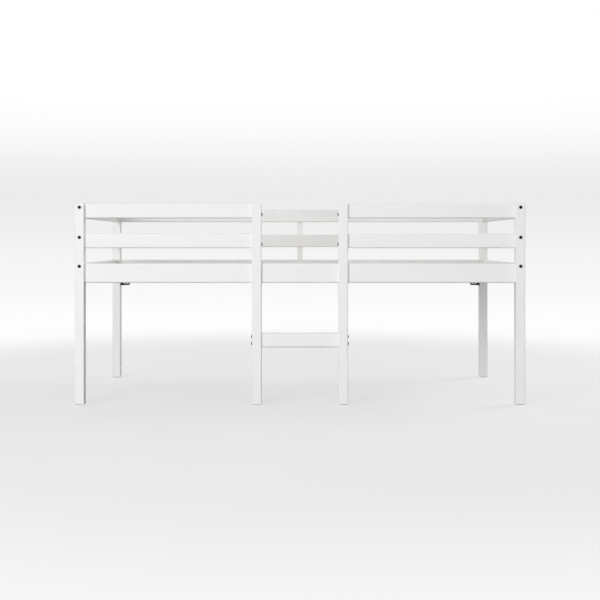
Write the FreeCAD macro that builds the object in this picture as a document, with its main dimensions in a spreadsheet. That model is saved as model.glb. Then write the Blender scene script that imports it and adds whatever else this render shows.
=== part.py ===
import FreeCAD, Part
import os
import re
import Sketcher

# A mid sleeper bed in painted pine: four square posts, board rails let into them with stub tenons,
# a fixed ladder in the middle of the front, ledgers and slats for the mattress.
# Millimetres. +X along the bed, +Y to the back, +Z up, origin on the floor under the middle.

DRIVING_SIZES = {
    "bed_length": 2070,
    "bed_depth": 970,
    "post_height": 928,
    "post_width": 43,
    "post_edge_chamfer": 2.5,
    "post_end_chamfer": 4,
    "board_thickness": 18,
    "board_edge_chamfer": 4,
    "guard_rail_height": 68,
    "side_rail_height": 90,
    "guard_gap": 70,
    "post_rise": 2,
    "tenon_length": 12,
    "tenon_shoulder": 9,
    "mortise_clearance": 0.2,
    "ladder_clear_width": 355,
    "rung_above_half_way": 4,
    "rung_height": 66,
    "rung_thickness": 24,
    "rung_edge_radius": 7,
    "rung_tenon_shoulder": 12,
    "guard_screw_inset": 18,
    "side_screw_inset": 13,
    "screw_diameter": 6,
    "screw_hole_clearance": 1,
    "screw_bore_clearance": 0.2,
    "screw_bore_end_clearance": 2,
    "screw_head_diameter": 15,
    "screw_head_height": 4,
    "screw_grip": 40,
    "strut_width": 30,
    "strut_thickness": 12,
    "strut_end_margin": 10,
    "ledger_height": 30,
    "ledger_thickness": 22,
    "ledger_above_rail_bottom": 10,
    "ledger_end_clearance": 2,
    "slat_count": 15,
    "slat_width": 68,
    "slat_thickness": 18,
    "slat_end_clearance": 3,
    "slat_post_clearance": 6,
    "slat_edge_chamfer": 1.5,
    "bracket_thickness": 2,
    "bracket_height": 22,
    "bracket_below_rail": 41.5,
    "bracket_hole_diameter": 7,
    "bracket_hole_spacing": 16.7,
    "bracket_first_hole": 17,
    "bracket_post_leg": 38,
    "bracket_tip_margin": 13,
    "bracket_end_radius": 10.5,
    "bracket_scallop_radius": 9,
    "bracket_scallop_depth": 1.6,
    "cutter_overrun": 2,
}

WORKED_OUT_SIZES = {
    "post_x": "(bed_length - post_width) / 2",
    "post_y": "(bed_depth - post_width) / 2",
    "upright_x": "(ladder_clear_width + post_width) / 2",
    "top_rail_bottom": "post_height - post_rise - guard_rail_height",
    "middle_rail_bottom": "top_rail_bottom - guard_gap - guard_rail_height",
    "side_rail_bottom": "middle_rail_bottom - guard_gap - side_rail_height",
    "half_way_up": "(side_rail_bottom + side_rail_height) / 2",
    "rung_bottom": "half_way_up + rung_above_half_way - rung_height",
    "long_shoulders": "bed_length - 2 * post_width",
    "end_shoulders": "bed_depth - 2 * post_width",
    "front_shoulders": "(bed_length - ladder_clear_width) / 2 - 2 * post_width",
    "front_rail_x": "(bed_length + ladder_clear_width) / 4",
    "clear_between_sides": "bed_depth - post_width - board_thickness",
    "ledger_bottom": "side_rail_bottom + ledger_above_rail_bottom",
    "ledger_y": "(clear_between_sides - ledger_thickness) / 2",
    "slat_bottom": "ledger_bottom + ledger_height",
    "slat_spread": "long_shoulders - 2 * slat_post_clearance - slat_width",
    "strut_length": "post_height - post_rise - side_rail_bottom - 2 * strut_end_margin",
    "wall_leg": "bracket_first_hole + bracket_hole_spacing + bracket_tip_margin",
}

doc = FreeCAD.newDocument("mid_sleeper")
sheet = doc.addObject("Spreadsheet::Sheet", "Sizes")
cells = dict(DRIVING_SIZES)
for alias, formula in WORKED_OUT_SIZES.items():
    cells[alias] = f"={formula}"
for row, (alias, content) in enumerate(cells.items(), start=1):
    sheet.set(f"A{row}", alias)
    sheet.set(f"B{row}", str(content))
    sheet.setAlias(f"B{row}", alias)
doc.recompute()

RAIL_LEVELS = {
    "bottom": ("side_rail_bottom", "side_rail_height", "side_screw_inset"),
    "middle": ("middle_rail_bottom", "guard_rail_height", "guard_screw_inset"),
    "top": ("top_rail_bottom", "guard_rail_height", "guard_screw_inset"),
}
LEFT_RIGHT = {"left": -1, "right": 1}
FRONT_REAR = {"front": -1, "rear": 1}

parts = []


def bound(expression):
    """The expression with each size named through the sheet."""
    names = re.compile("|".join(rf"\b{alias}\b" for alias in cells))
    return names.sub(lambda word: f"Sizes.{word.group()}", str(expression))


def value(expression):
    return float(sheet.evalExpression(bound(expression)))


def bind(thing, prop, expression):
    thing.setExpression(prop, bound(expression))


def new_body(label):
    body = doc.addObject("PartDesign::Body", label)
    parts.append(body)
    return body


def sketch_on(body, plane, name, offset="0"):
    """An empty sketch on one of the body's own origin planes, moved along the plane's normal."""
    planes = {feature.Role: feature for feature in body.Origin.OriginFeatures}
    sketch = body.newObject("Sketcher::SketchObject", name)
    sketch.AttachmentSupport = [(planes[plane], "")]
    sketch.MapMode = "FlatFace"
    bind(sketch, "AttachmentOffset.Base.z", offset)
    return sketch


def constrain(sketch, kind, geometry, expression):
    index = sketch.addConstraint(Sketcher.Constraint(kind, *geometry, value(expression)))
    bind(sketch, f"Constraints[{index}]", expression)


def rectangle(sketch, left, bottom, width, height):
    low = FreeCAD.Vector(value(left), value(bottom), 0)
    high = low + FreeCAD.Vector(value(width), value(height), 0)
    corners = [low, FreeCAD.Vector(high.x, low.y, 0), high, FreeCAD.Vector(low.x, high.y, 0)]
    first = sketch.GeometryCount
    for side in range(4):
        sketch.addGeometry(Part.LineSegment(corners[side], corners[(side + 1) % 4]))
    for side in range(4):
        after = first + (side + 1) % 4
        sketch.addConstraint(Sketcher.Constraint("Coincident", first + side, 2, after, 1))
        level = "Horizontal" if side % 2 == 0 else "Vertical"
        sketch.addConstraint(Sketcher.Constraint(level, first + side))
    constrain(sketch, "DistanceX", (-1, 1, first, 1), left)
    constrain(sketch, "DistanceY", (-1, 1, first, 1), bottom)
    constrain(sketch, "DistanceX", (first, 1, first, 2), width)
    constrain(sketch, "DistanceY", (first + 1, 1, first + 1, 2), height)


def circle(sketch, across, up, diameter):
    centre = FreeCAD.Vector(value(across), value(up), 0)
    normal = FreeCAD.Vector(0, 0, 1)
    index = sketch.addGeometry(Part.Circle(centre, normal, value(diameter) / 2))
    constrain(sketch, "DistanceX", (-1, 1, index, 3), across)
    constrain(sketch, "DistanceY", (-1, 1, index, 3), up)
    constrain(sketch, "Diameter", (index,), diameter)


def pad(body, sketch, length, middle=True):
    feature = body.newObject("PartDesign::Pad", f"{sketch.Name}_pad")
    feature.Profile = sketch
    feature.Midplane = middle
    bind(feature, "Length", length)
    return feature


def pocket(body, sketch, depth, inward=-1):
    """A blind cut from the sketch: inward -1 cuts against the sketch's normal, +1 along it."""
    feature = body.newObject("PartDesign::Pocket", f"{sketch.Name}_pocket")
    feature.Profile = sketch
    feature.Reversed = inward > 0
    bind(feature, "Length", depth)
    return feature


def pocket_through(body, sketch):
    feature = body.newObject("PartDesign::Pocket", f"{sketch.Name}_pocket")
    feature.Profile = sketch
    feature.Type = "ThroughAll"
    feature.Midplane = True
    return feature


def edges_along(shape, direction):
    """Names of the straight edges that run along a direction."""
    found = []
    for number, edge in enumerate(shape.Edges, start=1):
        run = edge.Vertexes[-1].Point - edge.Vertexes[0].Point
        if run.Length > 0 and abs(run.normalize().dot(direction)) > 0.999:
            found.append(f"Edge{number}")
    return found


def faces_across(shape, direction):
    """Names of the flat faces square to a direction."""
    found = []
    for number, face in enumerate(shape.Faces, start=1):
        if abs(face.normalAt(0, 0).dot(direction)) > 0.999:
            found.append(f"Face{number}")
    return found


def round_edges(body, radius, names):
    base = body.Tip
    feature = body.newObject("PartDesign::Fillet", f"{body.Name}_round")
    feature.Base = (base, names)
    bind(feature, "Radius", radius)
    return feature


def chamfer(body, size, names):
    base = body.Tip
    feature = body.newObject("PartDesign::Chamfer", f"{body.Name}_chamfer")
    feature.Base = (base, names)
    bind(feature, "Size", size)
    return feature


def place(thing, across, back, up, turn=None):
    """Bind a piece's place to expressions. turn is an axis and an angle."""
    if turn:
        axis, degrees = turn
        thing.Placement = FreeCAD.Placement(FreeCAD.Vector(), FreeCAD.Rotation(axis, degrees))
    bind(thing, "Placement.Base.x", across)
    bind(thing, "Placement.Base.y", back)
    bind(thing, "Placement.Base.z", up)


X_AXIS = FreeCAD.Vector(1, 0, 0)
Y_AXIS = FreeCAD.Vector(0, 1, 0)
Z_AXIS = FreeCAD.Vector(0, 0, 1)


# Boards lie along their own X, centred, with their thickness on Y and their lower edge at Z = 0.

def board(label, length, height, thickness):
    body = new_body(label)
    section = sketch_on(body, "YZ_Plane", f"{label}_section")
    rectangle(section, f"-{thickness} / 2", "0", thickness, height)
    pad(body, section, length)
    doc.recompute()
    return body


def eased_board(label, length, height, thickness, edge_chamfer):
    body = board(label, length, height, thickness)
    chamfer(body, edge_chamfer, edges_along(body.Tip.Shape, X_AXIS))
    return body


def add_tenons(body, shoulders, height, thickness, shoulder):
    """A stub tenon at each end, as thick as the board and cut away above and below."""
    tenon = sketch_on(body, "YZ_Plane", f"{body.Name}_tenon")
    rectangle(tenon, f"-{thickness} / 2", shoulder, thickness, f"{height} - 2 * {shoulder}")
    pad(body, tenon, f"{shoulders} + 2 * tenon_length")


def rail(label, shoulders, height):
    body = eased_board(label, shoulders, height, "board_thickness", "board_edge_chamfer")
    add_tenons(body, shoulders, height, "board_thickness", "tenon_shoulder")
    return body


def bore_for_screws(body, shoulders, height, ends):
    """A bore for a screw in the end grain, from the tenon's end into the board."""
    for end in ends:
        mouth = f"{end} * ({shoulders} / 2 + tenon_length)"
        bore = sketch_on(body, "YZ_Plane", f"{body.Name}_bore_{'ab'[end > 0]}", mouth)
        circle(bore, "0", height, "screw_diameter + screw_bore_clearance")
        depth = "tenon_length + screw_grip + screw_bore_end_clearance"
        pocket(body, bore, depth, inward=-end)


# Posts and ladder uprights stand on their own origin, centred on Z.

def post(label):
    body = new_body(label)
    section = sketch_on(body, "XY_Plane", f"{label}_section")
    rectangle(section, "-post_width / 2", "-post_width / 2", "post_width", "post_width")
    pad(body, section, "post_height", middle=False)
    doc.recompute()
    chamfer(body, "post_edge_chamfer", edges_along(body.Tip.Shape, Z_AXIS))
    doc.recompute()
    chamfer(body, "post_end_chamfer", faces_across(body.Tip.Shape, Z_AXIS))
    return body


def mortises(body, plane, side, tenons):
    """Mortises in the post's face on one side of a plane, one for each (bottom, height, width)."""
    name = f"{body.Name}_mortises_{plane[:2].lower()}_{'ab'[side > 0]}"
    sketch = sketch_on(body, plane, name, f"{side} * post_width / 2")
    for bottom, height, width in tenons:
        rectangle(
            sketch,
            f"-({width} + mortise_clearance) / 2",
            f"{bottom} - mortise_clearance / 2",
            f"{width} + mortise_clearance",
            f"{height} + mortise_clearance",
        )
    pocket(body, sketch, "tenon_length + mortise_clearance", inward=-side)


def rail_tenon(level):
    bottom, height, _ = RAIL_LEVELS[level]
    return f"{bottom} + tenon_shoulder", f"{height} - 2 * tenon_shoulder", "board_thickness"


RUNG_TENON = (
    "rung_bottom + rung_tenon_shoulder",
    "rung_height - 2 * rung_tenon_shoulder",
    "rung_thickness",
)


def upper_screw_height(level):
    bottom, height, inset = RAIL_LEVELS[level]
    return f"({bottom} + {height} - {inset})"


def lower_screw_height(level):
    bottom, _, inset = RAIL_LEVELS[level]
    return f"({bottom} + {inset})"


def corner_post(end, side):
    body = post(f"post_{side}_{end}")
    tenons = [rail_tenon(level) for level in RAIL_LEVELS]
    mortises(body, "YZ_Plane", -LEFT_RIGHT[end], tenons)
    mortises(body, "XZ_Plane", FRONT_REAR[side], tenons)
    holes = sketch_on(body, "XZ_Plane", f"{body.Name}_screw_holes")
    for level in RAIL_LEVELS:
        circle(holes, "0", upper_screw_height(level), "screw_diameter + screw_hole_clearance")
    pocket_through(body, holes)
    place(body, f"{LEFT_RIGHT[end]} * post_x", f"{FRONT_REAR[side]} * post_y", "0")


def ladder_upright(end):
    """An upright that laps over the front of the long side rail."""
    body = post(f"ladder_upright_{end}")
    outward = LEFT_RIGHT[end]
    mortises(body, "YZ_Plane", outward, [rail_tenon("middle"), rail_tenon("top")])
    mortises(body, "YZ_Plane", -outward, [RUNG_TENON])
    holes = sketch_on(body, "YZ_Plane", f"{body.Name}_screw_holes")
    for level in ("middle", "top"):
        circle(holes, "0", lower_screw_height(level), "screw_diameter + screw_hole_clearance")
    pocket_through(body, holes)
    lap = sketch_on(body, "YZ_Plane", f"{body.Name}_lap")
    lap_depth = "(post_width + board_thickness) / 2 + cutter_overrun"
    rectangle(lap, "-board_thickness / 2", "side_rail_bottom", lap_depth, "side_rail_height")
    pocket_through(body, lap)
    place(body, f"{outward} * upright_x", "-post_y", "0")


def end_rail(end, level):
    bottom, height, inset = RAIL_LEVELS[level]
    body = rail(f"{end}_end_{level}_rail", "end_shoulders", height)
    bore_for_screws(body, "end_shoulders", f"{height} - {inset}", (-1, 1))
    quarter_turn = (Z_AXIS, -90 * LEFT_RIGHT[end])
    place(body, f"{LEFT_RIGHT[end]} * post_x", "0", bottom, quarter_turn)


def front_guard_rail(end, level):
    """A guard rail from a corner post to the ladder, screwed at the ladder."""
    bottom, height, inset = RAIL_LEVELS[level]
    body = rail(f"front_{level}_rail_{end}", "front_shoulders", height)
    bore_for_screws(body, "front_shoulders", inset, (-LEFT_RIGHT[end],))
    place(body, f"{LEFT_RIGHT[end]} * front_rail_x", "-post_y", bottom)


def long_rail(label, level, side):
    bottom, height, _ = RAIL_LEVELS[level]
    body = rail(label, "long_shoulders", height)
    place(body, "0", f"{FRONT_REAR[side]} * post_y", bottom)


def ladder_rung():
    body = board("ladder_rung", "ladder_clear_width", "rung_height", "rung_thickness")
    round_edges(body, "rung_edge_radius", edges_along(body.Tip.Shape, X_AXIS))
    add_tenons(body, "ladder_clear_width", "rung_height", "rung_thickness", "rung_tenon_shoulder")
    place(body, "0", "-post_y", "rung_bottom")


def back_strut():
    """A flat strip up the back of the three back rails, inside the plane of the posts."""
    body = eased_board(
        "back_centre_strut", "strut_length", "strut_width", "strut_thickness", "slat_edge_chamfer"
    )
    back = "post_y + (board_thickness + strut_thickness) / 2"
    up = "side_rail_bottom + strut_end_margin + strut_length / 2"
    place(body, "strut_width / 2", back, up, (Y_AXIS, -90))


def ledger(side):
    label = f"{side}_slat_ledger"
    length = "long_shoulders - 2 * ledger_end_clearance"
    body = eased_board(label, length, "ledger_height", "ledger_thickness", "slat_edge_chamfer")
    place(body, "0", f"{FRONT_REAR[side]} * ledger_y", "ledger_bottom")


def slats():
    count = int(value("slat_count"))
    length = "clear_between_sides - 2 * slat_end_clearance"
    for number in range(count):
        label = f"slat_{number + 1:02d}"
        body = eased_board(label, length, "slat_thickness", "slat_width", "slat_edge_chamfer")
        across = f"slat_spread * ({number} / (slat_count - 1) - 0.5)"
        place(body, across, "0", "slat_bottom", (Z_AXIS, 90))


def wall_bracket(end):
    """A bent steel strip: one leg on the post's inner face, one leg with two holes along the wall."""
    label = f"wall_bracket_{end}"
    inward = -LEFT_RIGHT[end]
    body = new_body(label)
    bend = sketch_on(body, "XY_Plane", f"{label}_wall_leg")
    start = "0" if inward > 0 else "-wall_leg"
    rectangle(bend, start, "-bracket_thickness", "wall_leg", "bracket_thickness")
    pad(body, bend, "bracket_height")
    post_leg = sketch_on(body, "XY_Plane", f"{label}_post_leg")
    start = "0" if inward > 0 else "-bracket_thickness"
    rectangle(post_leg, start, "-bracket_post_leg", "bracket_thickness", "bracket_post_leg")
    pad(body, post_leg, "bracket_height")
    doc.recompute()
    shape = body.Tip.Shape
    tip_edges = []
    for name in edges_along(shape, Y_AXIS):
        edge = shape.getElement(name)
        if abs(edge.CenterOfMass.x) > value("wall_leg - bracket_thickness"):
            tip_edges.append(name)
    round_edges(body, "bracket_end_radius", tip_edges)
    holes = sketch_on(body, "XZ_Plane", f"{label}_holes")
    for step in (0, 1):
        across = f"{inward} * (bracket_first_hole + {step} * bracket_hole_spacing)"
        circle(holes, across, "0", "bracket_hole_diameter")
    pocket_through(body, holes)
    scallops = sketch_on(body, "XZ_Plane", f"{label}_scallops")
    across = f"{inward} * (bracket_first_hole + bracket_hole_spacing / 2)"
    for way in (-1, 1):
        reach = "(bracket_height / 2 + bracket_scallop_radius - bracket_scallop_depth)"
        circle(scallops, across, f"{way} * {reach}", "2 * bracket_scallop_radius")
    pocket_through(body, scallops)
    face = f"{LEFT_RIGHT[end]} * (bed_length / 2 - post_width)"
    place(body, face, "bed_depth / 2", "side_rail_bottom - bracket_below_rail")


# Fasteners: one solid of each kind, and a group of placed copies of it for each set of joints.

def cylinder(name, diameter, height, up="0"):
    solid = doc.addObject("Part::Cylinder", name)
    bind(solid, "Radius", f"({diameter}) / 2")
    bind(solid, "Height", height)
    bind(solid, "Placement.Base.z", up)
    return solid


def round_head_screw(name, length):
    """A screw along Z: the head's underside at Z = 0, the shank below."""
    head = cylinder(f"{name}_head", "screw_head_diameter", "screw_head_height")
    shank = cylinder(f"{name}_shank", "screw_diameter", length, f"-({length})")
    screw = doc.addObject("Part::Fuse", name)
    screw.Base = head
    screw.Tool = shank
    return screw


def group(label, fastener, places):
    """Copies of one fastener, each placed by three expressions and a rotation."""
    copies = []
    for number, (across, back, up, turn) in enumerate(places, start=1):
        copy = doc.addObject("App::Link", f"{label}_{number}")
        copy.LinkedObject = fastener
        place(copy, across, back, up, turn)
        copies.append(copy)
    compound = doc.addObject("Part::Compound", label)
    compound.Links = copies
    parts.append(compound)


TO_FRONT_OR_REAR = {-1: (X_AXIS, 90), 1: (X_AXIS, -90)}
TO_LEFT_OR_RIGHT = {-1: (Y_AXIS, -90), 1: (Y_AXIS, 90)}


def rail_screws():
    screw = round_head_screw("rail_screw", "post_width + screw_grip")
    at_posts = []
    at_ladder = []
    for end in LEFT_RIGHT.values():
        for side in FRONT_REAR.values():
            for level in RAIL_LEVELS:
                up = upper_screw_height(level)
                face = f"{side} * bed_depth / 2"
                at_posts.append((f"{end} * post_x", face, up, TO_FRONT_OR_REAR[side]))
        for level in ("middle", "top"):
            face = f"{end} * ladder_clear_width / 2"
            up = lower_screw_height(level)
            at_ladder.append((face, "-post_y", up, TO_LEFT_OR_RIGHT[-end]))
    group("end_rail_screws", screw, at_posts)
    group("ladder_rail_screws", screw, at_ladder)


def build():
    for end in LEFT_RIGHT:
        for side in FRONT_REAR:
            corner_post(end, side)
        ladder_upright(end)
        for level in RAIL_LEVELS:
            end_rail(end, level)
        for level in ("middle", "top"):
            front_guard_rail(end, level)
        wall_bracket(end)
    long_rail("front_side_rail", "bottom", "front")
    long_rail("back_side_rail", "bottom", "rear")
    long_rail("back_middle_rail", "middle", "rear")
    long_rail("back_top_rail", "top", "rear")
    ladder_rung()
    back_strut()
    for side in FRONT_REAR:
        ledger(side)
    slats()
    rail_screws()
    doc.recompute()


def check():
    """Stop if a feature failed, a cut removed nothing or a piece isn't sound."""
    for thing in doc.Objects:
        if {"Invalid", "Error"} & set(thing.State):
            raise RuntimeError(f"{thing.Name} failed: {thing.State}")
        if thing.TypeId == "PartDesign::Pocket":
            before = thing.BaseFeature.Shape.Volume
            if thing.Shape.Volume > before - 1:
                raise RuntimeError(f"{thing.Name} cuts nothing")
    for piece in parts:
        if piece.Shape.isNull() or not piece.Shape.isValid():
            raise RuntimeError(f"{piece.Label} has no sound shape")


def export():
    os.makedirs("parts", exist_ok=True)
    for piece in parts:
        piece.Shape.exportStep(os.path.join("parts", f"{piece.Label}.step"))


build()
check()
export()
for piece in parts:
    print(f"{piece.Label}: {len(piece.Shape.Solids)} solid(s), {piece.Shape.Volume / 1000:.1f} cm3")
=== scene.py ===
# %% [markdown]
# # A mid sleeper bed in white painted pine
# The bed is a frame of square posts and planed boards, raised so that a child can play below it.
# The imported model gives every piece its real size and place. This lesson finishes the wood, adds
# the small screws, and sets up the studio.

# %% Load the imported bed
from math import cos, degrees, pi, radians
import bmesh
import bpy
from mathutils import Matrix, Vector


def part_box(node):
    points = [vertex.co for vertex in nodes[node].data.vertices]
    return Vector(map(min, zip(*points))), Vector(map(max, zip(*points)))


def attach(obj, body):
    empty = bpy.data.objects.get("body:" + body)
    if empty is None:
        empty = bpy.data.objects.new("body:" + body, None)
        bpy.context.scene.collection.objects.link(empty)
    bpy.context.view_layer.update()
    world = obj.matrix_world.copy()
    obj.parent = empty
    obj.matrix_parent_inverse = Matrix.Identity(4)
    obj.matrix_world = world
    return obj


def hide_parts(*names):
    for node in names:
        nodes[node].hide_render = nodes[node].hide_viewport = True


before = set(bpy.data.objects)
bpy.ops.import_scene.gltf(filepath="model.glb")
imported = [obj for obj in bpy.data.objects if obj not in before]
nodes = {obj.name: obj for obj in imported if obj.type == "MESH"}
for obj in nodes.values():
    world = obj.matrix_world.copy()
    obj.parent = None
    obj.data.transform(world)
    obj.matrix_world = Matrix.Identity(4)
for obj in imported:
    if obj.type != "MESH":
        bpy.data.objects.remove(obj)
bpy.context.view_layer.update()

MM = 0.001

# %% [markdown]
# Colours are written as the hex values that a paint card or a picture editor shows. Blender's
# shaders work in linear light, so one function turns a hex value to linear. A second one adds a
# shader node with its settings and links. The same nodes could be wired by hand in the shader
# editor, but in a script every size keeps its name and its unit.

# %% Helpers for the finishes
# A Mix node that is set to colours has its share, two colours and result at these sockets.
SHARE, FIRST, SECOND, MIXED = 0, 6, 7, 2


def linear(hex_colour):
    """A hex colour as linear red, green, blue and alpha."""
    channels = [int(hex_colour[i:i + 2], 16) / 255 for i in (1, 3, 5)]
    light = [c / 12.92 if c <= 0.04045 else ((c + 0.055) / 1.055) ** 2.4 for c in channels]
    return (*light, 1.0)


def add_node(tree, kind, settings=(), links=()):
    """A new shader node. A setting's name is an input socket, its number, or a property."""
    node = tree.nodes.new(kind)
    for name, value in dict(settings).items():
        if isinstance(name, int) or name in node.inputs:
            node.inputs[name].default_value = value
        else:
            setattr(node, name, value)
    for name, source in dict(links).items():
        tree.links.new(source, node.inputs[name])
    return node


def new_material(name):
    material = bpy.data.materials.new(name)
    material.use_nodes = True
    material.node_tree.nodes.clear()
    return material, material.node_tree


print("linear white:", linear("#FFFFFF"))

# %% [markdown]
# Wood fibres run along a board, so its grain is fine across and long along. A picture of wood
# would have to be unwrapped over every board. A noise pattern that is drawn out along one axis
# needs none of that: it is worked out from each point's place in the bed, in real millimetres.

# %% Noise that runs along the grain
AXES = "XYZ"
# Real ridges of grain are a millimetre or two apart. They are drawn wider, so that they show.
GRAIN_WIDTH = 5 * MM
GRAIN_RUN = 260 * MM


def grain_scale(axis, across, along):
    """Pattern repeats per metre: fine across the grain, long along it."""
    return [1 / along if letter == axis else 1 / across for letter in AXES]


def grain_noise(tree, place, axis, across, along, settings):
    """Noise with patches that are as wide and as long as the two sizes given."""
    stretched = add_node(
        tree, "ShaderNodeMapping", {"Scale": grain_scale(axis, across, along)}, {"Vector": place}
    )
    noise = add_node(
        tree,
        "ShaderNodeTexNoise",
        {"Scale": 1, **settings},
        {"Vector": stretched.outputs["Vector"]},
    )
    return noise.outputs["Fac"]


print("repeats per metre:", [round(n, 1) for n in grain_scale("X", GRAIN_WIDTH, GRAIN_RUN)])

# %% [markdown]
# The frame is planed pine, primed and sprayed with satin white paint. Paint levels out, so the
# eye gets a soft even sheen, a trace of the grain that stands up under the paint, the fine
# orange peel of the spray gun, and a white that is never quite the same all along a board.
# One plain white would be simpler but looks like plastic. The same finish is made three times,
# with the grain along X, Y or Z.

# %% Satin white paint over pine
GRAIN_RELIEF = 0.1 * MM
PEEL_SIZE = 2.2 * MM
PEEL_RELIEF = 0.05 * MM
SHADE_PATCH = 320 * MM
# Nearly all values of a noise pattern lie between these two.
NOISE_LOW, NOISE_HIGH = 0.3, 0.7
VEIL_SHARE = 0.3
PAINT_SHINY, PAINT_DULL = 0.48, 0.6


def satin_white_paint(axis):
    material, tree = new_material(f"satin_white_paint_on_pine_{axis.lower()}")
    place = add_node(tree, "ShaderNodeTexCoord").outputs["Object"]
    under_paint = {"Detail": 4, "Roughness": 0.6, "Distortion": 0.4}
    grain = grain_noise(tree, place, axis, GRAIN_WIDTH, GRAIN_RUN, under_paint)
    peel = add_node(
        tree, "ShaderNodeTexNoise", {"Scale": 1 / PEEL_SIZE, "Detail": 2}, {"Vector": place}
    )
    patches = add_node(
        tree, "ShaderNodeTexNoise", {"Scale": 1 / SHADE_PATCH, "Detail": 2}, {"Vector": place}
    )
    shade = add_node(
        tree,
        "ShaderNodeMix",
        {"data_type": "RGBA", FIRST: linear("#EDEDED"), SECOND: linear("#F2F2F2")},
        {SHARE: patches.outputs["Fac"]},
    )
    veil = add_node(
        tree,
        "ShaderNodeMapRange",
        {"From Min": NOISE_LOW, "From Max": NOISE_HIGH, "To Max": VEIL_SHARE},
        {"Value": grain},
    )
    grained = add_node(
        tree,
        "ShaderNodeMix",
        {"data_type": "RGBA", SECOND: linear("#E7E7E6")},
        {SHARE: veil.outputs["Result"], FIRST: shade.outputs[MIXED]},
    )
    sheen = add_node(
        tree,
        "ShaderNodeMapRange",
        {"From Min": NOISE_LOW, "From Max": NOISE_HIGH, "To Min": PAINT_SHINY, "To Max": PAINT_DULL},
        {"Value": grain},
    )
    peel_bump = add_node(
        tree,
        "ShaderNodeBump",
        {"Strength": 0.35, "Distance": PEEL_RELIEF},
        {"Height": peel.outputs["Fac"]},
    )
    grain_bump = add_node(
        tree,
        "ShaderNodeBump",
        {"Strength": 0.5, "Distance": GRAIN_RELIEF},
        {"Height": grain, "Normal": peel_bump.outputs["Normal"]},
    )
    paint = add_node(
        tree,
        "ShaderNodeBsdfPrincipled",
        {"IOR": 1.48},
        {
            "Base Color": grained.outputs[MIXED],
            "Roughness": sheen.outputs["Result"],
            "Normal": grain_bump.outputs["Normal"],
        },
    )
    add_node(tree, "ShaderNodeOutputMaterial", (), {"Surface": paint.outputs["BSDF"]})
    return material


white_paint = {axis: satin_white_paint(axis) for axis in AXES}
print("paint:", [material.name for material in white_paint.values()])

# %% [markdown]
# A knot is the foot of a branch, so it shows as a dark oval that is longer along the grain. Knots
# could be drawn one by one. Here they are the middles of the cells of a Voronoi pattern, which
# scatters them unevenly. The pattern lies flat on the face that shows: the top of a slat, or the
# inner side of a ledger, for which it is turned upright.

# %% Knots in pine
KNOT_SPACING = 150 * MM
# The dark middle and the rim of a knot, as shares of the spacing.
KNOT_CORE, KNOT_RIM = 0.03, 0.055
KNOT_STRENGTH = 0.85
KNOT_STRETCH = {"X": (1.8, 1, 1), "Y": (1, 1.8, 1)}
KNOT_TURN = {"X": (pi / 2, 0, 0), "Y": (0, 0, 0)}


def knot_share(tree, place, axis):
    """How much of the knots' brown a point gets."""
    on_face = add_node(
        tree,
        "ShaderNodeMapping",
        {"vector_type": "TEXTURE", "Rotation": KNOT_TURN[axis], "Scale": KNOT_STRETCH[axis]},
        {"Vector": place},
    )
    knots = add_node(
        tree,
        "ShaderNodeTexVoronoi",
        {"voronoi_dimensions": "2D", "Scale": 1 / KNOT_SPACING},
        {"Vector": on_face.outputs["Vector"]},
    )
    share = add_node(
        tree,
        "ShaderNodeMapRange",
        {"From Min": KNOT_CORE, "From Max": KNOT_RIM, "To Min": KNOT_STRENGTH, "To Max": 0.0},
        {"Value": knots.outputs["Distance"]},
    )
    return share.outputs["Result"]


print(f"a knot about {2 * KNOT_RIM * KNOT_SPACING / MM:.0f} mm wide")

# %% [markdown]
# Slats and ledgers are left as planed pine. The eye gets pale bands with darker latewood lines
# between them, fine fibres along the grain, and a brown knot here and there. A photo of pine would
# repeat from slat to slat. A wave pattern bent by noise gives the bands, and each slat cuts it at
# another place, so no two are alike. In Blender one band is 0.314 units wide at a scale of 1.

# %% Planed bare pine
RING_SPACING = 9 * MM
RING_STRETCH = 14
WAVE_UNIT = 0.314
# Real fibres are finer than a hair. They are drawn as bundles this wide, so that they show.
FIBRE_WIDTH = 0.9 * MM
FIBRE_RUN = 40 * MM
FIBRE_RELIEF = 0.12 * MM
PINE_SHINY, PINE_DULL = 0.55, 0.72


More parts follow.
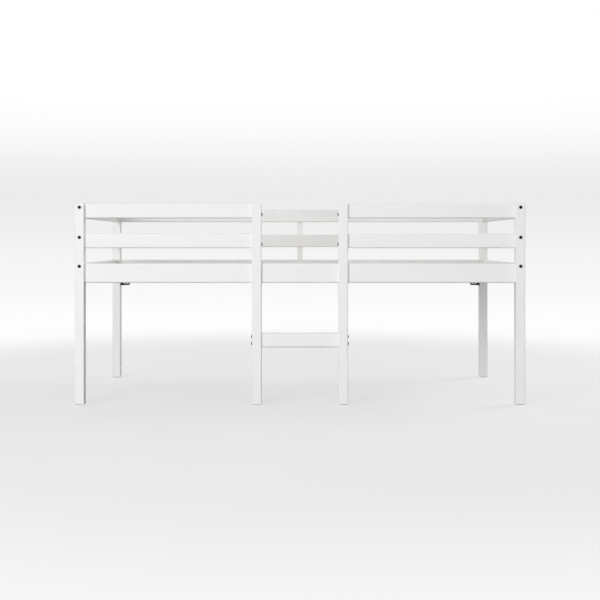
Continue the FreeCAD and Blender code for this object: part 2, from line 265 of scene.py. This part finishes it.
def planed_pine(axis):
    material, tree = new_material(f"planed_pine_{axis.lower()}")
    place = add_node(tree, "ShaderNodeTexCoord").outputs["Object"]
    along_grain = add_node(
        tree, "ShaderNodeMapping", {"Scale": grain_scale(axis, 1, RING_STRETCH)}, {"Vector": place}
    )
    rings = add_node(
        tree,
        "ShaderNodeTexWave",
        {
            "wave_type": "BANDS",
            "bands_direction": "DIAGONAL",
            "Scale": WAVE_UNIT / RING_SPACING,
            "Distortion": 9,
            "Detail": 2,
            "Detail Scale": 0.6,
        },
        {"Vector": along_grain.outputs["Vector"]},
    )
    fibres = grain_noise(tree, place, axis, FIBRE_WIDTH, FIBRE_RUN, {"Detail": 3})
    latewood = add_node(
        tree,
        "ShaderNodeMapRange",
        {"From Min": 0.45, "From Max": 1.0, "To Max": 0.75},
        {"Value": rings.outputs["Fac"]},
    )
    banded = add_node(
        tree,
        "ShaderNodeMix",
        {"data_type": "RGBA", FIRST: linear("#E9E2D5"), SECOND: linear("#DACBB0")},
        {SHARE: latewood.outputs["Result"]},
    )
    fibre_share = add_node(
        tree,
        "ShaderNodeMapRange",
        {"From Min": 0.45, "From Max": 0.75, "To Max": 0.35},
        {"Value": fibres},
    )
    fibred = add_node(
        tree,
        "ShaderNodeMix",
        {"data_type": "RGBA", SECOND: linear("#CBBA9C")},
        {SHARE: fibre_share.outputs["Result"], FIRST: banded.outputs[MIXED]},
    )
    knotted = add_node(
        tree,
        "ShaderNodeMix",
        {"data_type": "RGBA", SECOND: linear("#8A6A48")},
        {SHARE: knot_share(tree, place, axis), FIRST: fibred.outputs[MIXED]},
    )
    dullness = add_node(
        tree, "ShaderNodeMapRange", {"To Min": PINE_SHINY, "To Max": PINE_DULL}, {"Value": fibres}
    )
    bump = add_node(
        tree, "ShaderNodeBump", {"Strength": 0.4, "Distance": FIBRE_RELIEF}, {"Height": fibres}
    )
    pine = add_node(
        tree,
        "ShaderNodeBsdfPrincipled",
        {"IOR": 1.5},
        {
            "Base Color": knotted.outputs[MIXED],
            "Roughness": dullness.outputs["Result"],
            "Normal": bump.outputs["Normal"],
        },
    )
    add_node(tree, "ShaderNodeOutputMaterial", (), {"Surface": pine.outputs["BSDF"]})
    return material


bare_pine = {axis: planed_pine(axis) for axis in "XY"}
print("pine:", [material.name for material in bare_pine.values()])

# %% [markdown]
# The screws and the wall brackets are black steel. The brackets are powder coated, which dries to
# a fine pebbled skin with a dull sheen. The screws are zinc plated and dyed black, so they stay
# metal: smoother, with a tighter highlight and slightly uneven dye. Both are one noise pattern with
# other sizes and tones, so one function makes the two.

# %% Black steel, coated and plated
def black_steel(name, dark, pale, metallic, shiny, dull, grit, relief):
    material, tree = new_material(name)
    place = add_node(tree, "ShaderNodeTexCoord").outputs["Object"]
    pebbles = add_node(
        tree, "ShaderNodeTexNoise", {"Scale": 1 / grit, "Detail": 2}, {"Vector": place}
    ).outputs["Fac"]
    tone = add_node(
        tree,
        "ShaderNodeMix",
        {"data_type": "RGBA", FIRST: linear(dark), SECOND: linear(pale)},
        {SHARE: pebbles},
    )
    sheen = add_node(
        tree, "ShaderNodeMapRange", {"To Min": shiny, "To Max": dull}, {"Value": pebbles}
    )
    bump = add_node(
        tree, "ShaderNodeBump", {"Strength": 0.5, "Distance": relief}, {"Height": pebbles}
    )
    steel = add_node(
        tree,
        "ShaderNodeBsdfPrincipled",
        {"Metallic": metallic},
        {
            "Base Color": tone.outputs[MIXED],
            "Roughness": sheen.outputs["Result"],
            "Normal": bump.outputs["Normal"],
        },
    )
    add_node(tree, "ShaderNodeOutputMaterial", (), {"Surface": steel.outputs["BSDF"]})
    return material


powder_coat = black_steel(
    "black_powder_coated_steel",
    dark="#060607",
    pale="#0E0E0F",
    metallic=0.0,
    shiny=0.55,
    dull=0.7,
    grit=0.9 * MM,
    relief=0.06 * MM,
)
black_zinc = black_steel(
    "black_zinc_plated_steel",
    dark="#141416",
    pale="#242427",
    metallic=1.0,
    shiny=0.3,
    dull=0.45,
    grit=3 * MM,
    relief=0.01 * MM,
)
print("steel:", powder_coat.name, black_zinc.name)

# %% [markdown]
# Light runs softly over a rounded edge, so every piece shades smooth, with a sharp edge only where
# two faces meet steeply. Smooth shading alone bends a big flat face towards the rounds beside it.
# More faces along the edges could hold it flat. A Weighted Normal modifier does so without new
# faces, because it lets the biggest face at each corner decide.

# %% From a bmesh to a piece of the bed
SHARP_ANGLE = radians(32)
FACE_WEIGHT = 80


def finish_piece(name, bm, material):
    """Turn a bmesh into a piece of the bed that shades smooth over its rounds."""
    mesh = bpy.data.meshes.new(name)
    bm.to_mesh(mesh)
    bm.free()
    mesh.materials.append(material)
    mesh.shade_smooth()
    mesh.set_sharp_from_angle(angle=SHARP_ANGLE)
    piece = bpy.data.objects.new(name, mesh)
    bpy.context.scene.collection.objects.link(piece)
    even = piece.modifiers.new("flat_faces_stay_flat", "WEIGHTED_NORMAL")
    even.mode = "FACE_AREA"
    even.weight = FACE_WEIGHT
    even.keep_sharp = True
    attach(piece, "root")
    return piece


print(f"edges over {degrees(SHARP_ANGLE):.0f} degrees stay sharp")

# %% [markdown]
# A sander takes the arris off every board, so its edges are round, not bevelled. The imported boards
# have plain chamfers. A Bevel modifier would also soften the tenons, mortises and screw holes.
# So each board is copied, its loose triangles are merged into whole faces, and only the two long
# edges of every chamfer are bevelled again, which turns the flat into a small round.

# %% Round the eased edges of a board
EASED_ANGLE = radians(45)
ANGLE_SLACK = radians(12)
FLAT_ANGLE = radians(1)
MERGE_DISTANCE = 0.001 * MM
ROUND_STEPS = 2


def is_eased(edge):
    """Whether the edge is one side of a chamfer."""
    if len(edge.link_faces) != 2:
        return False
    return abs(edge.calc_face_angle() - EASED_ANGLE) < ANGLE_SLACK


def rounded_copy(node, softness, material):
    """A board with its chamfers rounded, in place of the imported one."""
    bm = bmesh.new()
    bm.from_mesh(nodes[node].data)
    bmesh.ops.remove_doubles(bm, verts=bm.verts, dist=MERGE_DISTANCE)
    bmesh.ops.dissolve_limit(
        bm, angle_limit=FLAT_ANGLE, verts=bm.verts, edges=bm.edges, use_dissolve_boundaries=False
    )
    bmesh.ops.bevel(
        bm,
        geom=[edge for edge in bm.edges if is_eased(edge)],
        offset=softness,
        offset_type="OFFSET",
        affect="EDGES",
        segments=ROUND_STEPS,
        profile=0.5,
        material=-1,
        clamp_overlap=True,
    )
    bmesh.ops.remove_doubles(bm, verts=bm.verts, dist=MERGE_DISTANCE)
    piece = finish_piece(f"{node}_rounded", bm, material)
    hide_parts(node)
    return piece


print(f"edges of {degrees(EASED_ANGLE):.0f} degrees, {degrees(ANGLE_SLACK):.0f} more or less, are rounded")

# %% [markdown]
# Each kind of board has its own round. Rails are sanded most, because hands and knees rub along
# them, posts less, and the thin slats, ledgers and strut least. A table with a line for every board
# would be long, so the round and the finish follow from the board's name, and the way of the grain
# from its longest side.

# %% Finish every board
POST_SOFTNESS = 1.7 * MM
RAIL_SOFTNESS = 2.75 * MM
SLAT_SOFTNESS = 1.0 * MM


def grain_axis(node):
    """A board's grain runs along its longest side."""
    low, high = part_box(node)
    spans = [high[i] - low[i] for i in range(3)]
    return AXES[spans.index(max(spans))]


rounded = []
for node in sorted(nodes):
    axis = grain_axis(node)
    if node.startswith(("post_", "ladder_upright")):
        rounded.append(rounded_copy(node, POST_SOFTNESS, white_paint["Z"]))
    elif node.endswith(("_rail", "_rail_left", "_rail_right")):
        rounded.append(rounded_copy(node, RAIL_SOFTNESS, white_paint[axis]))
    elif node == "back_centre_strut":
        rounded.append(rounded_copy(node, SLAT_SOFTNESS, white_paint["Z"]))
    elif node.startswith("slat_") or node.endswith("_ledger"):
        rounded.append(rounded_copy(node, SLAT_SOFTNESS, bare_pine[axis]))
print("rounded:", len(rounded))

# %% [markdown]
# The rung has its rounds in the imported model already, and the bent brackets have their scallops and
# holes. Copies would add nothing, so these three stay as they came and only get their finish.

# %% Paint the rung and coat the brackets
finishes = {
    "ladder_rung": white_paint["X"],
    "wall_bracket_left": powder_coat,
    "wall_bracket_right": powder_coat,
}
for node, finish in finishes.items():
    nodes[node].data.materials.clear()
    nodes[node].data.materials.append(finish)
print("finished as packed:", list(finishes))

# %% [markdown]
# Every screw here is turned from round bar: a head with a softened rim, a shank under it, and a
# drive recess pressed into the top. A profile spun round its axis would give all but the recess.
# So a short cylinder is the blank. Insets give each step of the profile, and moving the inner ring
# of the top in and out makes a hexagon or a six-pointed star.

# %% One screw from a round blank
HEXAGON_SIDE = pi / 3
STAR_POINTS = 6
STAR_DEPTH = 0.22
# The recess is cut from a ring a little wider than the key, to a share of the head's height.
RECESS_RING = 1.15
RECESS_DEPTH = 0.6
RIM_STEPS = 3


def hexagon_radius(angle, radius):
    """Distance from the middle to the side of a hexagon with that inner radius."""
    turned = (angle + HEXAGON_SIDE / 2) % HEXAGON_SIDE - HEXAGON_SIDE / 2
    return radius / cos(turned)


def star_radius(angle, radius):
    """Distance from the middle to the edge of a star with that mean radius."""
    return radius * (1 + STAR_DEPTH * cos(STAR_POINTS * angle))


def screw_mesh(name, head, height, rim, shank, length, drive, drive_radius, sides):
    """A screw along Z with the underside of its head at Z = 0."""
    bm = bmesh.new()
    blank = bmesh.ops.create_cone(
        bm, cap_ends=True, segments=sides, radius1=head / 2, radius2=head / 2, depth=height
    )
    bmesh.ops.translate(bm, verts=blank["verts"], vec=(0, 0, height / 2))
    top = max(bm.faces, key=lambda face: face.calc_center_median().z)
    bottom = min(bm.faces, key=lambda face: face.calc_center_median().z)
    bmesh.ops.inset_individual(bm, faces=[bottom], thickness=(head - shank) / 2)
    bmesh.ops.inset_individual(bm, faces=[bottom], thickness=0, depth=length)
    bmesh.ops.inset_individual(bm, faces=[top], thickness=head / 2 - RECESS_RING * drive_radius)
    for vert in top.verts:
        angle = Vector((1, 0)).angle_signed(vert.co.xy, 0)
        vert.co.xy = vert.co.xy.normalized() * drive(angle, drive_radius)
    bmesh.ops.inset_individual(bm, faces=[top], thickness=0, depth=-RECESS_DEPTH * height)
    rim_verts = {
        vert
        for vert in bm.verts
        if abs(vert.co.xy.length - head / 2) < MERGE_DISTANCE and vert.co.z > height / 2
    }
    rim_edges = [edge for edge in bm.edges if rim_verts.issuperset(edge.verts)]
    bmesh.ops.bevel(
        bm, geom=rim_edges, offset=rim, affect="EDGES", segments=RIM_STEPS, profile=0.5, material=-1
    )
    mesh = bpy.data.meshes.new(name)
    bm.to_mesh(mesh)
    bm.free()
    return mesh


rail_screw = screw_mesh(
    "rail_screw",
    head=15 * MM,
    height=4 * MM,
    rim=1.6 * MM,
    shank=6 * MM,
    length=83 * MM,
    drive=hexagon_radius,
    drive_radius=2 * MM,
    sides=36,
)
print("rail screw:", len(rail_screw.polygons), "faces")

# %% [markdown]
# The big round-headed screws are on show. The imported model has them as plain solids, so detailed
# ones take their places. A hundred separate objects would be hard to handle, so each group of like
# screws is one piece. Each end rail has a screw through the post at both of its ends, from the front
# and from the back, set a little below the rail's upper edge.

# %% The screws through the corner posts
SCREW_INSET = {"bottom": 13 * MM, "middle": 18 * MM, "top": 18 * MM}


def screw_set(name, pattern, places):
    """Copies of one screw as one piece. A place is a point and the way that the head faces."""
    bm = bmesh.new()
    for point, way in places:
        turn = Vector((0, 0, 1)).rotation_difference(Vector(way)).to_matrix().to_4x4()
        copy = pattern.copy()
        copy.transform(Matrix.Translation(point) @ turn)
        bm.from_mesh(copy)
        bpy.data.meshes.remove(copy)
    return finish_piece(name, bm, black_zinc)


frame_low, post_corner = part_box("post_front_left")
frame_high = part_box("post_rear_right")[1]
post_width = post_corner[0] - frame_low[0]
post_x = frame_high[0] - post_width / 2
rail_levels = {level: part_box(f"left_end_{level}_rail") for level in ("bottom", "middle", "top")}

end_places = []
for level, (low, high) in rail_levels.items():
    height = high[2] - SCREW_INSET[level]
    for across in (-post_x, post_x):
        end_places.append(((across, frame_low[1], height), (0, -1, 0)))
        end_places.append(((across, frame_high[1], height), (0, 1, 0)))
end_screws = screw_set("end_rail_screws_turned", rail_screw, end_places)
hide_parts("end_rail_screws")
print(len(end_places), "screws through the posts")

# %% [markdown]
# The ladder's uprights carry the inner ends of the guard rails and both ends of the rung. The same
# screws go through them: from inside the ladder into the rails, and from outside into the rung.
# The boxes of the uprights and rails give their places, so they follow if the ladder is moved.

# %% The screws through the ladder's uprights
RUNG_SCREW_SPACING = 32 * MM
front_y = frame_low[1] + post_width / 2
rung_low, rung_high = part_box("ladder_rung")
rung_middle = (rung_low[2] + rung_high[2]) / 2

ladder_places = []
rung_places = []
for end, side in (("left", -1), ("right", 1)):
    low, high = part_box(f"ladder_upright_{end}")
    inside, outside = (high[0], low[0]) if side < 0 else (low[0], high[0])
    for level in ("middle", "top"):
        height = rail_levels[level][0][2] + SCREW_INSET[level]
        ladder_places.append(((inside, front_y, height), (-side, 0, 0)))
    for way in (-1, 1):
        height = rung_middle + way * RUNG_SCREW_SPACING / 2
        rung_places.append(((outside, front_y, height), (side, 0, 0)))
ladder_screws = screw_set("ladder_rail_screws_turned", rail_screw, ladder_places)
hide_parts("ladder_rail_screws")
screw_set("rung_screws", rail_screw, rung_places)
print(len(ladder_places), "ladder and", len(rung_places), "rung screws")

# %% [markdown]
# Smaller wood screws hold what is out of sight from the front. They have a star drive and sit flush,
# so only a thin rim stands proud of the wood. A flat dark disc could stand for one from afar, but the
# same blank gives the real shape. Two of them hold each end of a slat on its ledger, and a row along
# each ledger holds it to the side rail.

# %% Wood screws in the slats and ledgers
SLAT_SCREW_PITCH = 36 * MM
LEDGER_SCREWS = 8
wood_screw = screw_mesh(
    "wood_screw",
    head=7 * MM,
    height=0.5 * MM,
    rim=0.15 * MM,
    shank=3 * MM,
    length=20 * MM,
    drive=star_radius,
    drive_radius=1.5 * MM,
    sides=24,
)
ledger_boxes = {side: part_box(f"{side}_slat_ledger") for side in ("front", "rear")}

wood_places = []
for node in sorted(nodes):
    if not node.startswith("slat_"):
        continue
    low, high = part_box(node)
    middle = (low[0] + high[0]) / 2
    for ledger_low, ledger_high in ledger_boxes.values():
        over_ledger = (ledger_low[1] + ledger_high[1]) / 2
        for way in (-1, 1):
            across = middle + way * SLAT_SCREW_PITCH / 2
            wood_places.append(((across, over_ledger, high[2]), (0, 0, 1)))
for side, (low, high) in ledger_boxes.items():
    way = 1 if side == "front" else -1
    face = high[1] if side == "front" else low[1]
    pitch = (high[0] - low[0]) / LEDGER_SCREWS
    for number in range(LEDGER_SCREWS):
        across = low[0] + (number + 0.5) * pitch
        wood_places.append(((across, face, (low[2] + high[2]) / 2), (0, way, 0)))
print(len(wood_places), "screws in the slats and ledgers")

# %% [markdown]
# The same wood screws hold the strut to the three back rails, two in each, and the side rail to the
# uprights that lap over it, from behind. They join the list of places, so that all the wood screws
# become one piece.

# %% Wood screws in the strut and the laps
STRUT_SCREW_SHARES = (0.3, 0.7)
LAP_SCREW_PITCH = 22 * MM
strut_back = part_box("back_centre_strut")[1][1]
side_rail_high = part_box("front_side_rail")[1]
slat_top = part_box("slat_01")[1][2]

for low, high in rail_levels.values():
    for share in STRUT_SCREW_SHARES:
        height = low[2] + share * (high[2] - low[2])
        wood_places.append(((0, strut_back, height), (0, 1, 0)))
for end in ("left", "right"):
    low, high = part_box(f"ladder_upright_{end}")
    height = (slat_top + side_rail_high[2]) / 2
    for way in (-1, 1):
        across = (low[0] + high[0]) / 2 + way * LAP_SCREW_PITCH / 2
        wood_places.append(((across, side_rail_high[1], height), (0, 1, 0)))
screw_set("wood_screws", wood_screw, wood_places)
print(len(wood_places), "wood screws")

# %% [markdown]
# A wall bracket is a bent steel strip. One leg lies on the inner side of the post under a single
# pan-headed screw, and the other reaches along the wall with its two holes open. The screw comes
# from the same blank with a taller, rounder head, because it stands on steel and can't sink in.

# %% The screws in the wall brackets
BRACKET_STEEL = 2 * MM
BRACKET_SCREW_INSET = 9 * MM
pan_screw = screw_mesh(
    "pan_screw",
    head=8 * MM,
    height=2.2 * MM,
    rim=0.9 * MM,
    shank=3.5 * MM,
    length=20 * MM,
    drive=star_radius,
    drive_radius=1.7 * MM,
    sides=24,
)
bracket_places = []
for end, way in (("left", 1), ("right", -1)):
    low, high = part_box(f"wall_bracket_{end}")
    face = low[0] + BRACKET_STEEL if way > 0 else high[0] - BRACKET_STEEL
    point = (face, low[1] + BRACKET_SCREW_INSET, (low[2] + high[2]) / 2)
    bracket_places.append((point, (way, 0, 0)))
screw_set("bracket_screws", pan_screw, bracket_places)
print(len(bracket_places), "bracket screws")

# %% [markdown]
# A studio's paper and walls have soft changes of tone. A ramp with a few stops can follow them, along
# the distance from the bed or the height above the horizon. What a camera sees can be kept apart from
# what lights the bed: a Light Path node tells which kind of ray has come, so the tones can be set
# without changing the light.

# %% Tones and rays for the studio
def tone_along(tree, position, tones):
    """A colour that follows a number through a list of places and tones."""
    first, last = tones[0][0], tones[-1][0]
    share = add_node(
        tree, "ShaderNodeMapRange", {"From Min": first, "From Max": last}, {"Value": position}
    )
    ramp = add_node(tree, "ShaderNodeValToRGB", (), {"Fac": share.outputs["Result"]})
    ramp.color_ramp.interpolation = "CARDINAL"
    stops = ramp.color_ramp.elements
    while len(stops) < len(tones):
        stops.new(0.5)
    for stop, (place, tone) in zip(stops, tones):
        stop.position = (place - first) / (last - first)
        stop.color = linear(tone)
    return ramp.outputs["Color"]


def looked_at(tree):
    """1 for rays of the camera, or of a mirror or glass that shows what is behind the bed."""
    path = add_node(tree, "ShaderNodeLightPath")
    seen = path.outputs["Is Camera Ray"]
    for ray in ("Is Glossy Ray", "Is Transmission Ray"):
        either = add_node(
            tree, "ShaderNodeMath", {"operation": "MAXIMUM"}, {0: seen, 1: path.outputs[ray]}
        )
        seen = either.outputs["Value"]
    return seen


print("helpers:", tone_along.__name__, looked_at.__name__)

# %% [markdown]
# The bed stands on a round pale floor that brightens a few metres out and runs into a white surround.
# A curved paper sweep is usual in a studio, but it would hide the bed from a camera behind it. A camera
# sees the tones that are written here. Near the bed, part of what it sees is lit paper, so the bed keeps
# its shadow. Other rays meet a greyer paper, so that less light comes back up under the rails.

# %% The floor
FLOOR_RADIUS = 30.0
FLOOR_SIDES = 96
# Metres from the middle of the bed, and the tone there.
FLOOR_TONES = [
    (0.4, "#F5F5F5"), (1.4, "#F5F5F5"), (2.4, "#F6F6F6"), (3.3, "#FBFBFB"), (4.4, "#FDFDFD"),
    (7.5, "#FBFBFB"), (11.0, "#F8F8F8"), (25.0, "#F6F6F6"),
]
SHADOW_SHARE = 0.4
SHADOW_FULL, SHADOW_END = 2.0, 3.6


def studio_paper():
    material, tree = new_material("pale_studio_paper")
    place = add_node(tree, "ShaderNodeTexCoord").outputs["Object"]
    from_middle = add_node(
        tree, "ShaderNodeVectorMath", {"operation": "LENGTH"}, {0: place}
    ).outputs["Value"]
    tone = tone_along(tree, from_middle, FLOOR_TONES)
    own_tone = add_node(tree, "ShaderNodeEmission", (), {"Color": tone})
    paper = add_node(tree, "ShaderNodeBsdfDiffuse", {"Color": linear("#F0F0F0")})
    dim_paper = add_node(tree, "ShaderNodeBsdfDiffuse", {"Color": linear("#787878")})
    kept_share = add_node(
        tree,
        "ShaderNodeMapRange",
        {
            "interpolation_type": "SMOOTHSTEP",
            "From Min": SHADOW_FULL,
            "From Max": SHADOW_END,
            "To Min": SHADOW_SHARE,
            "To Max": 0.0,
        },
        {"Value": from_middle},
    )
    shaded = add_node(
        tree,
        "ShaderNodeMixShader",
        (),
        {
            "Fac": kept_share.outputs["Result"],
            1: own_tone.outputs["Emission"],
            2: paper.outputs["BSDF"],
        },
    )
    surface = add_node(
        tree,
        "ShaderNodeMixShader",
        (),
        {"Fac": looked_at(tree), 1: dim_paper.outputs["BSDF"], 2: shaded.outputs["Shader"]},
    )
    add_node(tree, "ShaderNodeOutputMaterial", (), {"Surface": surface.outputs["Shader"]})
    return material


bm = bmesh.new()
bmesh.ops.create_circle(bm, cap_ends=True, segments=FLOOR_SIDES, radius=FLOOR_RADIUS)
mesh = bpy.data.meshes.new("studio_floor")
bm.to_mesh(mesh)
bm.free()
mesh.materials.append(studio_paper())
floor = bpy.data.objects.new("studio_floor", mesh)
bpy.context.scene.collection.objects.link(floor)
print("floor:", len(mesh.vertices), "corners")

# %% [markdown]
# The main light is a large soft panel on the left in front of the bed. A low wide one ahead reaches
# under the rails to the back legs, one stands behind on the left, and a high one on the right. Small
# lamps or a sun would draw hard shadows on the floor, which the picture doesn't have.

# %% The soft panels
def soft_panel(name, place, target, width, height, watts):
    """An area lamp at one point, turned to another. Lengths are in metres."""
    lamp = bpy.data.lights.new(name, "AREA")
    lamp.shape = "RECTANGLE"
    lamp.size = width
    lamp.size_y = height
    lamp.energy = watts
    panel = bpy.data.objects.new(name, lamp)
    panel.location = place
    look = Vector(target) - Vector(place)
    panel.rotation_euler = look.to_track_quat("-Z", "Y").to_euler()
    bpy.context.scene.collection.objects.link(panel)
    return panel


panels = [
    soft_panel(
        "left_panel", (-5.0, -8.6, 2.6), target=(0.0, 0.0, 0.5), width=5.5, height=4.6, watts=555
    ),
    soft_panel(
        "low_panel", (1.6, -9.5, 0.6), target=(0.0, 0.0, 0.45), width=5.0, height=1.1, watts=170
    ),
    soft_panel(
        "back_panel", (-6.5, 7.5, 2.2), target=(0.0, 0.0, 0.5), width=3.0, height=3.0, watts=270
    ),
    soft_panel(
        "right_panel", (5.5, 2.5, 4.5), target=(0.3, 0.2, 0.5), width=3.0, height=3.0, watts=170
    ),
]
print("panels:", [panel.name for panel in panels])

# %% [markdown]
# The rest of the light comes from all round, as from the pale walls of a studio. It is a little
# stronger on the left, so faces that look left come out paler than those that look right. The camera
# doesn't see that sky. It sees a white surround with a faint grey band above the horizon, as where
# a paper backdrop turns up. A picture of a real studio could do both, but it would bring its own
# lamps and colours.

# %% The sky and the surround
SKY_LEFT = 0.46
SKY_RIGHT = 0.37
# The sine of the angle above the horizon, and the tone there.
SURROUND_TONES = [
    (-0.08, "#FDFDFD"), (-0.055, "#FAFAFA"), (-0.012, "#F4F4F4"), (0.014, "#EFEFEF"),
    (0.05, "#ECECEC"), (0.082, "#F3F3F3"), (0.102, "#F9F9F9"), (0.122, "#FDFDFD"),
    (0.143, "#FFFFFF"),
]


def studio_world():
    world = bpy.data.worlds.new("studio_surround")
    world.use_nodes = True
    tree = world.node_tree
    tree.nodes.clear()
    direction = add_node(tree, "ShaderNodeTexCoord").outputs["Generated"]
    way = add_node(tree, "ShaderNodeSeparateXYZ", (), {"Vector": direction})
    sideways = add_node(
        tree,
        "ShaderNodeMapRange",
        {"From Min": -1.0, "From Max": 1.0, "To Min": SKY_LEFT, "To Max": SKY_RIGHT},
        {"Value": way.outputs["X"]},
    )
    sky = add_node(
        tree,
        "ShaderNodeBackground",
        {"Color": linear("#FFFFFF")},
        {"Strength": sideways.outputs["Result"]},
    )
    tone = tone_along(tree, way.outputs["Z"], SURROUND_TONES)
    surround = add_node(tree, "ShaderNodeBackground", (), {"Color": tone})
    mixed = add_node(
        tree,
        "ShaderNodeMixShader",
        (),
        {
            "Fac": looked_at(tree),
            1: sky.outputs["Background"],
            2: surround.outputs["Background"],
        },
    )
    add_node(tree, "ShaderNodeOutputWorld", (), {"Surface": mixed.outputs["Shader"]})
    return world


bpy.context.scene.world = studio_world()
bpy.context.scene.view_settings.view_transform = "Standard"
print("world:", bpy.context.scene.world.name)

# %% [markdown]
# The picture was taken from straight ahead, from a little above the slats, with the camera level and
# its lens shifted down, which brings the bed to the middle of the frame. Tilting the camera down would
# do that too, but then the posts would lean. The lens is worked out from how many millimetres of the
# posts' front faces one pixel covers.

# %% The camera
PICTURE_SIZE = 600
HORIZON_ROW = 241.0
MM_PER_PIXEL = 4.592
CAMERA_DISTANCE = 4.590
CAMERA_HEIGHT = 0.753
SENSOR = 36.0

camera_data = bpy.data.cameras.new("level_camera")
camera_data.sensor_width = SENSOR
focal_pixels = CAMERA_DISTANCE / (MM_PER_PIXEL * MM)
camera_data.lens = focal_pixels * SENSOR / PICTURE_SIZE
camera_data.shift_y = (HORIZON_ROW - PICTURE_SIZE / 2) / PICTURE_SIZE
camera = bpy.data.objects.new("level_camera", camera_data)
camera.location = (0, frame_low[1] - CAMERA_DISTANCE, CAMERA_HEIGHT)
camera.rotation_euler = (radians(90), 0, 0)
bpy.context.scene.collection.objects.link(camera)
bpy.context.scene.camera = camera
print(f"lens {camera_data.lens:.1f} mm")
